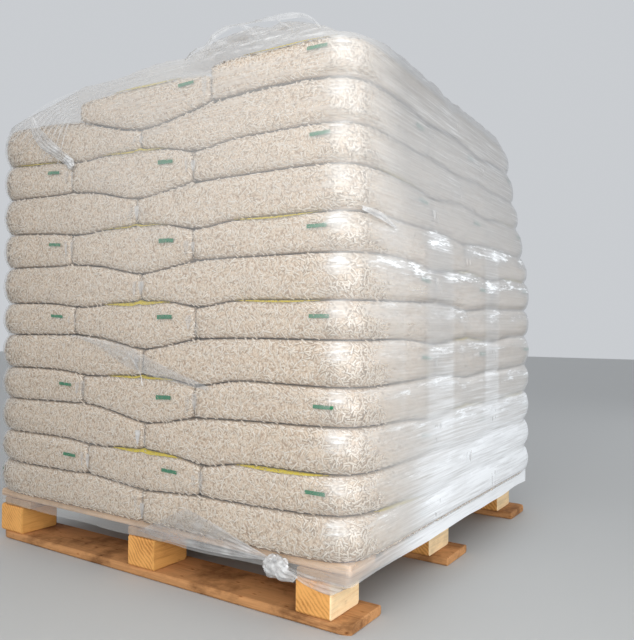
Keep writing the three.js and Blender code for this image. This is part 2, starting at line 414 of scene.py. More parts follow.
def inset_at(share):
    """How far in a sack's side is at a share of its height."""
    away = np.clip(np.abs(2 * share - 1), 0, 1)
    return EDGE * (1 - (1 - away**EDGE_POWER) ** (1 / EDGE_POWER))


def corner_depth(x, y, share):
    """How much further in the load's own corners are than its faces, towards a sack's edges."""
    near = ease(np.minimum(np.abs(x), np.abs(y)), HALF - 0.14, 0.1)
    return CORNER_DEEP * near * (2 * share - 1) ** 2


def crown_at(layer, spot, x, y):
    """How far an uncovered sack's upper face swells."""
    if layer < LAYERS - 1:
        return 0.0
    x0, x1, y0, y1 = spot
    across = 1 - np.abs((2 * x - x0 - x1) / (x1 - x0)) ** 3
    deep = 1 - np.abs((2 * y - y0 - y1) / (y1 - y0)) ** 3
    swell = CROWN * np.clip(across, 0, 1) * np.clip(deep, 0, 1)
    if layer == LAYERS:
        return swell
    return swell * ease(-x, -JOINTS_X[LAYERS][0], 0.05)


def press_close(spot, gap):
    """Moves a sack's inner sides out, so that what fills it comes closer to the next sack there."""
    more = max(0, gap - CLOSE_GAP)
    return tuple(v if on_face(v) else v + side * more for v, side in zip(spot, (-1, 1, -1, 1)))


def sack_rings(layer, spot, gap, steps, rings):
    """Points of one sack, ring by ring, from the middle of its underside over its sides to its top."""
    radii = corner_radii(spot)
    spot = press_close(spot, gap)
    inset, share = side_profile(rings)
    reach = min(spot[1] - spot[0], spot[3] - spot[2]) / 2 - 0.02
    inner = EDGE + (reach - EDGE) * np.array(FLAT_RINGS)
    inset = np.concatenate([inner, inset, inner[::-1]])
    share = np.concatenate([0 * inner, share, 0 * inner + 1])[:, None]
    plan, normal = plan_outline(spot, inset + gap, radii, steps)
    plan = plan - normal * corner_depth(plan[..., 0], plan[..., 1], share)[..., None]
    x, y = plan[..., 0], plan[..., 1]
    low = level(layer - 1, x, y) + min(gap, CLOSE_GAP)
    top_gap = gap if layer >= LAYERS - 1 else min(gap, CLOSE_GAP)
    high = level(layer, x, y) + crown_at(layer, spot, x, y) - top_gap
    z = low + (high - low) * share
    x, y = drawn_in(x, y, z)
    return np.stack([x, y, z], -1)


def closed_rings(points, start):
    """Faces of rings that end in a flat polygon at both ends."""
    rows, columns = points.shape[:2]
    quads = grid_faces(rows, columns, closed=True, start=start)
    bottom = [start + k for k in reversed(range(columns))]
    top = [start + (rows - 1) * columns + k for k in range(columns)]
    return [*map(tuple, quads.tolist()), tuple(bottom), tuple(top)]


def sack_layer_mesh(layer, gap, steps, rings):
    points, faces = [], []
    for spot in sack_spots(layer):
        ring = sack_rings(layer, spot, gap, steps, rings)
        faces += closed_rings(ring, sum(map(len, points)))
        points.append(ring.reshape(-1, 3))
    return np.concatenate(points), faces


# Material helpers
def new_material(name):
    material = bpy.data.materials.new(name)
    material.use_nodes = True
    tree = material.node_tree
    tree.nodes.clear()
    return material, tree


def node(tree, kind, inputs=None, **settings):
    """A shader node of a kind, with its inputs linked to sockets or set to values."""
    made = tree.nodes.new(kind)
    for key, value in settings.items():
        setattr(made, key, value)
    for key, value in (inputs or {}).items():
        if isinstance(value, bpy.types.NodeSocket):
            tree.links.new(value, made.inputs[key])
        else:
            made.inputs[key].default_value = value
    return made


def ramp(tree, factor, stops):
    made = node(tree, "ShaderNodeValToRGB", {"Fac": factor})
    elements = made.color_ramp.elements
    while len(elements) < len(stops):
        elements.new(0.5)
    for element, (place, colour) in zip(elements, stops):
        element.position = place
        element.color = (*colour, 1.0)
    return made.outputs["Color"]


def maths(tree, operation, *values, clamp=False):
    inputs = dict(enumerate(values))
    return node(tree, "ShaderNodeMath", inputs, operation=operation, use_clamp=clamp).outputs[0]


def mix_colours(tree, factor, first, second, blend="MIX"):
    inputs = {"Factor": factor, "A": first, "B": second}
    return node(tree, "ShaderNodeMix", inputs, data_type="RGBA", blend_type=blend).outputs["Result"]


def multiply(tree, first, second, factor=1.0):
    return mix_colours(tree, factor, first, second, "MULTIPLY")


def map_range(tree, value, start, stop, new_start=0.0, new_stop=1.0):
    inputs = {"Value": value, "From Min": start, "From Max": stop, "To Min": new_start, "To Max": new_stop}
    return node(tree, "ShaderNodeMapRange", inputs).outputs["Result"]


def relief(tree, height, strength, distance, invert=False):
    inputs = {"Height": height, "Strength": strength, "Distance": distance}
    return node(tree, "ShaderNodeBump", inputs, invert=invert).outputs["Normal"]


def principled(tree, inputs):
    return node(tree, "ShaderNodeBsdfPrincipled", inputs).outputs["BSDF"]


def object_place(tree, scale):
    """Object coordinates, stretched by a scale for each axis."""
    place = node(tree, "ShaderNodeTexCoord").outputs["Object"]
    return node(tree, "ShaderNodeMapping", {"Vector": place, "Scale": scale}).outputs["Vector"]


def noise_value(tree, stretch, detail, roughness, scale=1.0):
    inputs = {"Scale": scale, "Detail": detail, "Roughness": roughness}
    inputs["Vector"] = object_place(tree, stretch)
    return node(tree, "ShaderNodeTexNoise", inputs).outputs["Fac"]


def attribute(tree, name):
    return node(tree, "ShaderNodeAttribute", attribute_name=name).outputs["Fac"]


def finished(material, shader):
    """The material with its shader joined to its output."""
    node(material.node_tree, "ShaderNodeOutputMaterial", {"Surface": shader})
    return material


def mix_shaders(tree, factor, first, second):
    return node(tree, "ShaderNodeMixShader", {0: factor, 1: first, 2: second}).outputs[0]


# Materials
def pellet_material():
    """Pressed wood: pale, mottled along each pellet, a little different from pellet to pellet, and darkened
    towards each pellet's base as painted shade in the crevices between pellets.
    """
    material, tree = new_material("pellet")
    stops = [
        (0.0, (0.66, 0.53, 0.41)),
        (0.2, (0.81, 0.72, 0.6)),
        (0.65, (0.9, 0.83, 0.735)),
        (1.0, (0.93, 0.88, 0.81)),
    ]
    colour = ramp(tree, attribute(tree, "tone"), stops)
    grain = noise_value(tree, (1, 1, 1), 2, 0.5, 700)
    speckle = ramp(tree, grain, [(0.3, (0.9, 0.88, 0.86)), (0.6, (1, 1, 1))])
    # The rim values run from 0 at a pellet's base to 1 at its ridge: this ramp darkens the base as painted
    # shade in the crevices between pellets.
    crevice_shade_stops = [(0.0, (0.34, 0.25, 0.17)), (0.4, (0.72, 0.65, 0.58)), (0.75, (1, 1, 1))]
    rim = ramp(tree, attribute(tree, "rim"), crevice_shade_stops)
    surface = {
        "Base Color": multiply(tree, multiply(tree, colour, speckle), rim),
        "Roughness": 0.5,
        "Normal": relief(tree, grain, 0.4, 0.0004),
    }
    return finished(material, principled(tree, surface))


def fill_material():
    """The pellets deeper in a sack, seen in the gaps between the outer ones, coloured a little darker than
    them and darkest at the cells' edges as painted shade.
    """
    material, tree = new_material("pellet_fill")
    place = object_place(tree, (1, 1, 1))
    cells = node(tree, "ShaderNodeTexVoronoi", {"Vector": place, "Scale": 190.0, "Randomness": 1.0})
    distance = cells.outputs["Distance"]
    # Painted shade: lighter in the middle of each cell and darkest at its edge.
    stops = [(0.0, (0.86, 0.75, 0.62)), (0.45, (0.74, 0.61, 0.48)), (0.85, (0.46, 0.34, 0.24))]
    surface = {
        "Base Color": ramp(tree, distance, stops),
        "Roughness": 0.7,
        "Normal": relief(tree, distance, 0.7, 0.002, invert=True),
    }
    return finished(material, principled(tree, surface))


def clear_material(name, gloss, roughness, stretch, haze, streaks, slant_haze_and_sheen, bump, even, greys):
    """Thin clear plastic: see-through, with a gloss and a whitish haze that grow at a slant, in streaks; the
    haze at a slant is partly painted reflection.

    Three mesh attributes add to it: haze where it is bunched or lies in many turns, with painted light added
    on the film's sides, turns, which greys the haze as painted shade, and glint, which whitens it as painted
    highlights in short streaks along its folds. stretch is the scale of the streaks, bump their height, even
    how little they vary the haze of the mesh, and greys the haze's colours without the painted shade and
    with all of it.
    """
    material, tree = new_material(name)
    lines = noise_value(tree, stretch, 4, 0.6)
    patches = noise_value(tree, (5, 5, 20), 3, 0.55)
    patches = map_range(tree, patches, 0.5, 0.7)
    folds = noise_value(tree, (15, 15, 110), 6, 0.68)
    normal = relief(tree, lines, 0.6, bump)
    facing = node(tree, "ShaderNodeLayerWeight", {"Blend": 0.5}).outputs["Facing"]
    turned = map_range(tree, facing, 0.5, 0.78)
    line_haze = maths(tree, "MULTIPLY", maths(tree, "POWER", lines, 3.5), patches)
    milky = maths(tree, "MULTIPLY_ADD", line_haze, streaks, haze)
    # More milky at a slant: whitish haze that is partly painted reflection of the film at a grazing angle.
    milky = maths(tree, "MULTIPLY_ADD", turned, slant_haze_and_sheen, milky)
    varied = map_range(tree, lines, 0.3, 0.7, even, 2 - even)
    own = maths(tree, "MULTIPLY", attribute(tree, "haze"), varied)
    milky = maths(tree, "ADD", milky, own)
    # Painted highlights: the glint values whiten the haze in short streaks along the folds.
    painted_glint_streaks = maths(tree, "MULTIPLY", map_range(tree, folds, 0.52, 0.66), attribute(tree, "painted_glint"))
    milky = maths(tree, "ADD", milky, painted_glint_streaks, clamp=True)
    slant = node(tree, "ShaderNodeFresnel", {"IOR": 1.5, "Normal": normal}).outputs["Fac"]
    shine = maths(tree, "MINIMUM", maths(tree, "MULTIPLY", slant, gloss), 0.25)
    clear = node(tree, "ShaderNodeBsdfTransparent", {"Color": (0.99, 0.99, 0.99, 1)})
    polish = {"Color": (1, 1, 1, 1), "Roughness": roughness, "Normal": normal}
    mirror = node(tree, "ShaderNodeBsdfGlossy", polish)
    glossy = mix_shaders(tree, shine, clear.outputs[0], mirror.outputs[0])
    # The turns values grey the haze: painted shade on the film's sides off the front.
    grey = ramp(tree, attribute(tree, "turns"), [(0.0, greys[0]), (1.0, greys[1])])
    grey = mix_colours(tree, map_range(tree, milky, 0.55, 0.85), grey, (0.92, 0.94, 0.96, 1))
    dull = principled(tree, {"Base Color": grey, "Roughness": 0.3, "Normal": normal})
    return finished(material, mix_shaders(tree, milky, glossy, dull))


def sack_skin_material():
    return clear_material(
        "sack_skin",
        gloss=0.3,
        roughness=0.4,
        stretch=(26, 26, 50),
        haze=0.01,
        streaks=0.7,
        slant_haze_and_sheen=0.0,
        bump=0.002,
        even=0.2,
        greys=((0.72, 0.66, 0.6), (0.8, 0.78, 0.76)),
    )


def film_material():
    return clear_material(
        "stretch_film",
        gloss=0.6,
        roughness=0.3,
        stretch=(5, 5, 200),
        haze=0.0,
        streaks=0.3,
        slant_haze_and_sheen=0.05,
        bump=0.0005,
        even=0.8,
        greys=((0.86, 0.86, 0.85), (0.45, 0.46, 0.47)),
    )


def bunched_film_material():
    return clear_material(
        "bunched_film",
        gloss=0.5,
        roughness=0.4,
        stretch=(30, 30, 90),
        haze=0.02,
        streaks=0.1,
        slant_haze_and_sheen=0.1,
        bump=0.001,
        even=0.7,
        greys=((0.75, 0.75, 0.75), (0.8, 0.8, 0.8)),
    )


def wood_material(name, along, light, dark, grime, knots):
    """Rough sawn softwood with grain along one axis, knots and dirt."""
    material, tree = new_material(name)
    stretch = {"x": (1.2, 22, 22), "y": (22, 1.2, 22)}[along]
    rings = noise_value(tree, stretch, 5, 0.6, 1.6)
    fine = noise_value(tree, tuple(s * 14 for s in stretch), 3, 0.6)
    dirt = noise_value(tree, (7, 7, 12), 5, 0.65)
    value = maths(tree, "MULTIPLY_ADD", fine, 0.35, maths(tree, "MULTIPLY", rings, 0.7))
    colour = ramp(tree, value, [(0.36, dark), (0.52, light), (0.68, tuple(0.78 * c for c in light))])
    soiled = ramp(tree, dirt, [(0.36, (0.42, 0.38, 0.35)), (0.52, (1, 1, 1))])
    spots = {"Vector": object_place(tree, {"x": (4, 9, 9), "y": (9, 4, 9)}[along]), "Randomness": 1.0}
    spot = node(tree, "ShaderNodeTexVoronoi", spots).outputs["Distance"]
    knot = ramp(tree, spot, [(0.06, (0.3, 0.2, 0.13)), (0.1, (0.75, 0.62, 0.5)), (0.17, (1, 1, 1))])
    surface = {
        "Base Color": multiply(tree, multiply(tree, colour, soiled, grime), knot, knots),
        "Roughness": 0.82,
        "Specular IOR Level": 0.2,
        "Normal": relief(tree, value, 0.7, 0.0015),
    }
    return finished(material, principled(tree, surface))


def end_grain_material(name, light, dark):
    """Sawn ends of a block, with its year rings."""
    material, tree = new_material(name)
    inputs = {"Scale": 48.0, "Distortion": 7.0, "Detail": 3.0, "Detail Scale": 0.5}
    inputs["Vector"] = object_place(tree, (1, 1, 1))
    rings = node(tree, "ShaderNodeTexWave", inputs, bands_direction="DIAGONAL").outputs["Fac"]
    patches = noise_value(tree, (14, 14, 14), 4, 0.6)
    fine = noise_value(tree, (1, 1, 1), 3, 0.6, 420)
    value = maths(tree, "MULTIPLY_ADD", rings, 0.17, maths(tree, "MULTIPLY", patches, 0.6))
    value = maths(tree, "MULTIPLY_ADD", fine, 0.25, value)
    colour = ramp(tree, value, [(0.3, dark), (0.52, light), (0.72, tuple(1.12 * c for c in light))])
    surface = {
        "Base Color": colour,
        "Roughness": 0.85,
        "Specular IOR Level": 0.2,
        "Normal": relief(tree, value, 0.6, 0.001),
    }
    return finished(material, principled(tree, surface))


def print_material(name, colour, gaps_from):
    """Ink on a clear sack, with small gaps in it."""
    material, tree = new_material(name)
    gaps = noise_value(tree, (160, 160, 420), 3, 0.6)
    stops = [(0.4, colour), (0.65, tuple(1.5 * c for c in colour))]
    ink = principled(tree, {"Base Color": ramp(tree, gaps, stops), "Roughness": 0.35})
    bare = node(tree, "ShaderNodeBsdfTransparent").outputs[0]
    missing = map_range(tree, gaps, gaps_from, gaps_from + 0.1)
    return finished(material, mix_shaders(tree, missing, ink, bare))


def nail_material():
    material, tree = new_material("nail")
    rust = noise_value(tree, (1, 1, 1), 3, 0.5, 500)
    colour = ramp(tree, rust, [(0.4, (0.09, 0.075, 0.065)), (0.65, (0.2, 0.11, 0.06))])
    surface = {"Base Color": colour, "Metallic": 0.7, "Roughness": 0.55}
    return finished(material, principled(tree, surface))


# Sacks
def add_fills(material):
    for layer in ALL_LAYERS:
        points, faces = sack_layer_mesh(layer, FILL_GAP, FILL_STEPS, FILL_RINGS)
        piece = add_mesh(f"sack_fill_{layer:02d}", points, faces, [material])


def add_skins(material):
    for layer in ALL_LAYERS:
        points, faces = sack_layer_mesh(layer, SKIN_GAP, SKIN_STEPS, SKIN_RINGS)
        piece = add_mesh(f"sack_skin_{layer:02d}", points, faces, [material])
        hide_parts(f"sack_layer_{layer:02d}")


def surface_spots(layer, spot):
    """Places and outward normals for pellets, evenly over what shows of one sack."""
    fine = sack_rings(layer, spot, FILL_GAP, SPOT_STEPS, SPOT_RINGS)
    across = np.roll(fine, -1, axis=1)
    corners = np.stack([fine[:-1], across[:-1], across[1:], fine[1:]], 2).reshape(-1, 4, 3)
    middle = corners.mean(1)
    normal = np.cross(corners[:, 2] - corners[:, 0], corners[:, 3] - corners[:, 1])
    area = np.linalg.norm(normal, axis=1) / 2
    normal = normal / np.maximum(area[:, None] * 2, 1e-12)
    x, y, z = middle.T
    edge_x, edge_y = drawn_in(np.full_like(z, HALF), np.full_like(z, HALF), z)
    shown = np.zeros(len(middle), bool)
    for away, out in (
        (HALF - x - (HALF - edge_x) * (y + HALF) / (2 * HALF), normal[:, 0]),
        (x + HALF, -normal[:, 0]),
        (HALF - y - (HALF - edge_y) * (x + HALF) / (2 * HALF), normal[:, 1]),
        (y + HALF, -normal[:, 1]),
    ):
        near = away < SHOWN_DEPTH + corner_depth(x, y, 1)
        shown |= near & (out > -0.3) & (np.abs(normal[:, 2]) < 0.7)
    if layer == LAYERS:
        shown |= normal[:, 2] > 0.3
        shown |= (x < JOINTS_X[LAYERS][0] + 0.03) & (normal[:, 0] < 0)
    if layer == LAYERS - 1:
        shown |= (normal[:, 2] > 0.3) & (x < JOINTS_X[LAYERS][0] + 0.04)
    corners, normal, area = corners[shown], normal[shown], area[shown]
    want = np.cumsum(area / PELLET_CELL**2)
    count = np.diff(np.floor(want + rng.random()), prepend=0).astype(int)
    pick = np.repeat(np.arange(len(want)), count)
    u, v = rng.random((2, len(pick), 1))
    a, b, c, d = (corners[pick, i] for i in range(4))
    place = a * (1 - u) * (1 - v) + b * u * (1 - v) + c * u * v + d * (1 - u) * v
    x, y, z = place.T
    room = np.minimum(z - level(layer - 1, x, y), level(layer, x, y) - z)
    if layer >= LAYERS - 1:
        room = np.where(normal[pick][:, 2] > 0.3, 1, room)
    return place, normal[pick], room


def pellet_mesh(place, normal, room):
    """The outer half of each pellet on a surface: six points and six triangles.

    They lie at random angles, but along the seam where the room to it is small.
    """
    count = len(place)
    spin = (rng.random((count, 1)) - 0.5) * math.pi * np.clip(room / SEAM_ROOM, SEAM_SPIN, 1)[:, None]
    side = np.cross(normal, (0.3, 0.2, 0.93))
    side /= np.linalg.norm(side, axis=1, keepdims=True) + 1e-9
    other = np.cross(normal, side)
    axis = side * np.cos(spin) + other * np.sin(spin)
    axis += normal * rng.normal(0, PELLET_TILT, (count, 1))
    axis /= np.linalg.norm(axis, axis=1, keepdims=True)
    flank = np.cross(normal, axis)
    flank /= np.linalg.norm(flank, axis=1, keepdims=True)
    up = np.cross(axis, flank)
    half = 0.5 * (PELLET_SHORT + (PELLET_LONG - PELLET_SHORT) * rng.random((count, 1)) ** 1.4)
    radius = PELLET_RADIUS * rng.uniform(0.9, 1.08, (count, 1))
    base = place + normal * rng.uniform(*PELLET_SUNK, (count, 1))
    points = [base + axis * half * end + flank * radius * out for end in (-1, 1) for out in (-1, 1)]
    points += [base + axis * (half - PELLET_TAPER) * end + up * radius for end in (-1, 1)]
    points = np.stack(points, 1).reshape(-1, 3)
    pattern = np.array([[0, 2, 5], [0, 5, 4], [3, 1, 4], [3, 4, 5], [1, 0, 4], [2, 3, 5]])
    faces = (pattern[None] + 6 * np.arange(count)[:, None, None]).reshape(-1, 3)
    tone = np.repeat(np.clip(rng.normal(*PELLET_TONE, count), 0, 1), 6)
    return points, faces, tone


def add_pellets(material):
    for layer in ALL_LAYERS:
        found = [surface_spots(layer, spot) for spot in sack_spots(layer)]
        place, normal, room = (np.concatenate(part) for part in zip(*found))
        points, faces, tone = pellet_mesh(place, normal, room)
        # The rim values, 0 at each pellet's four base points and 1 at its ridge, carry the painted shade at
        # the base.
        labels = {"tone": tone, "rim": np.tile([0, 0, 0, 0, 1, 1], len(place))}
        piece = add_mesh(f"pellets_{layer:02d}", points, faces, [material], attributes=labels)


# Prints on the sacks
def face_patch(layer, side, centre, low, wide, high, taper=0.0, steps=(10, 3)):
    """A patch on the outside of a layer's skin. low is the share of the layer's height at its bottom."""
    across = np.linspace(-1, 1, steps[0])
    thin = high * (1 - taper * across**2)
    share = low + high - thin * np.linspace(1, 0, steps[1])[:, None]
    u = centre + wide / 2 * across + 0 * share
    out = HALF + PRINT_OUT - inset_at(share) - corner_depth(u, HALF, share)
    if side == "front":
        x, y = u, -out
    elif side == "rear":
        x, y = -u, out
    elif side == "right":
        x, y = out, u
    else:
        x, y = -out, -u
    floor, roof = level(layer - 1, x, y), level(layer, x, y)
    z = floor + (roof - floor) * share
    x, y = drawn_in(x, y, z)
    return np.stack([x, y, z], -1)


def end_spans(layer):
    """The sack ends that show on two faces of the load: where each starts and stops along the face."""
    edges = (-HALF, *(JOINTS_X[layer] if ends_at_front(layer) else SIDE_JOINTS_Y), HALF)
    first = 1 if layer == LAYERS else 0
    return list(zip(edges[first:-1], edges[first + 1 :]))


def yellow_strength(layer, side, index):
    """How much of its yellow mark a sack shows: none for 0."""
    if side == "front":
        return YELLOW_AT_FRONT.get(layer, (0, 0, 0))[index]
    return max(0, rng.random() - 0.4)


def add_prints(green, yellow):
    """A short green bar near the right of each sack's end, and a yellow mark over its top edge."""
    patches, kinds = [], []
    for layer in ALL_LAYERS:
        sides = ("front", "rear") if ends_at_front(layer) else ("right", "left")
        for side in sides:
            for index, (start, stop) in enumerate(end_spans(layer)):
                if side in ("rear", "left"):
                    start, stop = -stop, -start
                bar = stop - BAR_FROM_EDGE[index] + rng.normal(0, 0.005)
                low = 0.46 + 0.016 * layer + rng.normal(0, 0.03)
                patches.append(face_patch(layer, side, bar, low, BAR_WIDE, BAR_HIGH))
                kinds.append(0)
                strength = yellow_strength(layer, side, index)
                if strength > 0:
                    middle = (start + stop) / 2 + 0.02
                    high = 0.035 + 0.05 * strength
                    shape = (1 - high, YELLOW_WIDE, high, 0.95, (22, 5))
                    patches.append(face_patch(layer, side, middle, *shape))
                    kinds.append(1)
    points, faces = join_grids(patches)
    counts = [(patch.shape[0] - 1) * (patch.shape[1] - 1) for patch in patches]
    piece = add_mesh("sack_prints", points, faces, [green, yellow], face_material=np.repeat(kinds, counts))


def add_joint_folds(material):
    """The sacks' plastic, crumpled beside the joints between them."""
    grids, haze = [], []
    for layer in ALL_LAYERS:
        for side, way in OUTWARD.items():
            places = joints(layer)[0 if side in ("front", "rear") else 1]
            for place in places:
                if layer == LAYERS and place == JOINTS_X[LAYERS][0]:
                    continue
                place = -place if side in ("rear", "left") else place
                for shift in (-0.012, 0.011):
                    wide = rng.uniform(0.008, 0.02)
                    low = rng.uniform(0.12, 0.3)
                    high = rng.uniform(0.35, 0.85 - low)
                    patch = face_patch(layer, side, place + shift, low, wide, high, 0.7, (5, 12))
                    folds = creases(patch * np.array([1, 1, 0.5]), 60, layer)
                    grids.append(patch + np.array(way) * (0.0012 + 0.0016 * folds[..., None]))
                    haze.append(rng.uniform(0.02, 0.45))
    add_strips("joint_folds", grids, haze, material)


# Stretch film
def film_edge_height(x):
    """The height of the film's edge round the load, which slopes down over the missing sacks."""
    down = np.clip((SLOPE_START_X - x) / (SLOPE_START_X + HALF), 0, 1)
    return TOP + rise_at(TOP, x) - PITCH * down + 0.02 * bell(x, 0.07, 0.13)


def film_outline(half, radius, count):
    spot = (-half, half, -half, half)
    return plan_outline(spot, np.zeros(count), [radius] * 4, FILM_STEPS)


def off_front(x, y, z):
    """0 on the front of the load, 1 on its right and less on its rear and left."""
    run = 0.24 + 0.2 * (1 - ease(z, 0.78, 0.2))
    right = ease(x, 0.5, 0.06) * ease(y, -0.6, run)
    rear = REAR_SHARE * ease(y, 0.5, 0.12)
    left = LEFT_SHARE * ease(-x, 0.55, 0.06) * ease(y, -0.5, 0.6)
    return np.maximum(right, np.maximum(rear, left))


def film_haze(x, y, z):
    """How milky the film is: a light veil at the front, more at the top, and in bands on the other sides,
    whiter towards their foot as painted light.
    """
    turn = np.searchsorted(FILM_BANDS_Y, y) % 2
    bands = 1 + 0.3 * (2 * turn - 1) * ease(z, 0.3, 0.3) * (1 - ease(z, 0.8, 0.1))
    rightward = ease(x, -0.6, 0.6)
    even, more, high = FRONT_VEIL
    front = even + more * rightward + high * ease(z, 0.4, 0.9) * (0.1 + 0.9 * rightward)
    corner = CORNER_VEIL * ease(x, 0.5, 0.1) * (1 - off_front(x, y, z))
    # The sides' veil grows towards the bottom: painted light.
    side = SIDE_VEIL_AND_LOW_LIGHT[0] + SIDE_VEIL_AND_LOW_LIGHT[1] * (1 - ease(z, 0.2, 0.5))
    hem = HEM_VEIL * (1 - ease(z, DECK_TOP - 0.01, 0.015))
    return front + corner + hem + side * bands * off_front(x, y, z)


def film_side_shade(x, y, z):
    """How grey the film is made as painted shade: most on the upper half of the three sides off the front.
    """
    return off_front(x, y, z) * (0.15 + 0.85 * ease(z, 0.35, 0.45))


def film_painted_glint(x, y, z, share):
    """How much painted highlight whitens the film: off the front along the tops of the sacks, and on the
    near corner.
    """
    along_top = ease(share, 0.42, 0.3) * (1 - ease(share, 0.9, 0.1))
    low = (0.45 + 0.55 * bell(z, PAINTED_GLINT_Z, 0.09)) * (1 - 0.96 * ease(z, 0.87, 0.03))
    right = ease(x, 0.5, 0.06) * ease(y, -0.62, 0.12)
    rear_left = REAR_SHARE * np.maximum(ease(y, 0.55, 0.06), ease(-x, 0.585, 0.03) * ease(y, -0.6, 0.4))
    corner = bell(x, 0.577, 0.02) * ease(-y, 0.56, 0.03) * (0.5 + 0.5 * low)
    broken = np.clip(0.7 + 1.3 * wobble_at(x * 7, y * 7, z * 26, 9), 0.05, 1.3)
    return along_top * np.maximum(broken * low * np.maximum(right, rear_left), 1.15 * corner)


def film_wall():
    """The film round the deck and the load up to its top edge, as rows of points, with each one's painted
    highlight.
    """
    heights = np.concatenate([FILM_LOW_ROWS, np.arange(FILM_ROWS_FROM, TOP - 0.01, FILM_ROW)])
    base, normal = film_outline(HALF + FILM_OUT, CORNER_OUT + FILM_OUT, len(heights))
    tight, _ = film_outline(DECK_HALF + FILM_OUT, FILM_TIGHT_CORNER, len(heights))
    x, y = base[..., 0], base[..., 1]
    above = np.clip((heights - FILM_SCALE_FROM) / (heights[-1] - FILM_SCALE_FROM), 0, 1)[:, None]
    fixed = np.minimum(heights, FILM_SCALE_FROM)[:, None]
    z = fixed + above * (film_edge_height(x) - 0.012 - FILM_SCALE_FROM)
    levels = np.stack([level(k, x, y) for k in range(LAYERS + 1)])
    below = np.clip((levels <= z[None]).sum(0) - 1, 0, LAYERS - 1)
    floor = np.take_along_axis(levels, below[None], 0)[0]
    roof = np.take_along_axis(levels, below[None] + 1, 0)[0]
    share = np.clip((z - floor) / (roof - floor), 0, 1)
    empty = (below == LAYERS - 1) & (x < SLOPE_START_X)
    corner = ease(np.minimum(np.abs(x), np.abs(y)), HALF - 0.16, 0.08)
    follow = FILM_FOLLOW + (CORNER_FOLLOW - FILM_FOLLOW) * corner
    inset = follow * inset_at(share) * ~empty
    inset = inset + 0.0012 * wobble_at(x * 5, y * 5, z * 60, 3)
    inset = inset + corner_depth(x, y, share) * (z > DECK_TOP)
    painted_glint = film_painted_glint(x, y, z, share)
    x, y = x - normal[..., 0] * inset, y - normal[..., 1] * inset
    x, y = drawn_in(x, y, z)
    on_deck = np.clip((DECK_TOP + 0.012 - z) / 0.012, 0, 1)
    x = x + (tight[..., 0] - x) * on_deck
    y = y + (tight[..., 1] - y) * on_deck
    sag = 0.006 * wobble_at(x * 6, y * 6, 0, 8)
    z = z + np.where(np.arange(len(heights))[:, None] == 0, sag, 0)
    return np.stack([x, y, z], -1), painted_glint


def loose_lift(x, y):
    """How far the loose film stands over the load's top edge: a lip at the right, a hump at the front."""
    lip = LIP * ease(x, 0.40, 0.18) * ease(y, -0.62, 0.25)
    across = np.clip((x - HUMP_LEFT) / (HUMP_RIGHT - HUMP_LEFT), 0, 1)
    hump = HUMP * np.sin(math.pi * across) ** 0.6 * ease(-y, 0.38, 0.2)
    ripple = 0.004 * ease(x, -0.3, 0.3)
    return np.maximum(np.maximum(lip, hump), ripple)


def film_top(edge):
    """The film from the wall's last row over the load's top edge, as rows of points."""
    run = np.linspace(0, 1, TOP_ROWS)[:, None] ** 1.2
    start = edge[None]
    x0, y0, z0 = start[..., 0], start[..., 1], start[..., 2]
    reach = OVER_TOP * (1 + 0.22 * wobble_at(x0 * 4, y0 * 4, 0, 11))
    into = reach * run
    scale = np.maximum(np.abs(x0), np.abs(y0))
    x = x0 * (1 - into / scale)
    y = y0 * (1 - into / scale)
    roof = film_edge_height(x) + 0.004
    lift = loose_lift(x0, y0)
    shape = np.sin(math.pi * np.clip(run, 0, 1) ** 0.5)
    z = z0 + (roof - z0) * ease(run, 0, 0.14) + lift * shape
    z = z + CROWN * 0.7 * ease(run, 0.1, 0.6) * (x > SLOPE_START_X)
    points = np.stack([x, y, z], -1)
    loose = 0.0015 + 0.3 * lift * shape + 0.005 * ease(run, 0.1, 0.5)
    folds = creases(points * np.array([1.0, 1.0, 0.5]), 22, 21)
    points[..., 2] += loose * folds * ease(run, 0.0, 0.12)
    points[..., 0] += 0.4 * loose * creases(points, 19, 33) * ease(run, 0, 0.2)
    return points


def add_film(material):
    wall, wall_painted_glint = film_wall()
    top = film_top(wall[-1])
    points = np.concatenate([wall, top[1:]])
    x, y, z = points[..., 0], points[..., 1], points[..., 2]
    on_top = (np.arange(len(points)) >= len(wall) - 3)[:, None]
    loose = loose_lift(x, y) / HUMP
    fan = ease(SLOPE_START_X - x, 0, 0.05) * ease(z, 1.13, 0.05)
    haze = film_haze(x, y, z) * (1 - 0.7 * on_top * loose) + 0.02 * on_top + 0.04 * fan
    # Painted highlights: the wall's haze is whitened where its glints lie, and the loose film at the top
    # gets glints of its own.
    haze[: len(wall)] += 0.24 * wall_painted_glint
    top_painted_glint = 0.5 * loose_lift(top[1:, :, 0], top[1:, :, 1]) / HUMP
    painted_glint = np.concatenate([0.8 * wall_painted_glint, top_painted_glint])
    rows, columns = points.shape[:2]
    faces = grid_faces(rows, columns, closed=True)
    # The turns values are painted shade; the glint values are painted highlights.
    labels = {"haze": haze, "painted_glint": painted_glint, "turns": film_side_shade(x, y, z)}
    piece = add_mesh("film_wrap_skin", points.reshape(-1, 3), faces, [material], attributes=labels)
    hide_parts("film_wrap")


def in_plane(y, places):
    """Places given by x and z on a plane that faces the front."""
    return [(x, y, z) for x, z in places]


def smooth_path(places, count):
    """A smooth curve through places, as evenly counted points."""
    places = np.asarray(places, float)
    padded = np.vstack([2 * places[0] - places[1], places, 2 * places[-1] - places[-2]])
    at = np.linspace(0, len(places) - 1 - 1e-9, count)
    i = at.astype(int)
    t = (at - i)[:, None]
    a, b, c, d = (padded[i + k] for k in range(4))
    return 0.5 * (2 * b + (c - a) * t + (2 * a - 5 * b + 4 * c - d) * t**2 + (3 * b - a - 3 * c + d) * t**3)


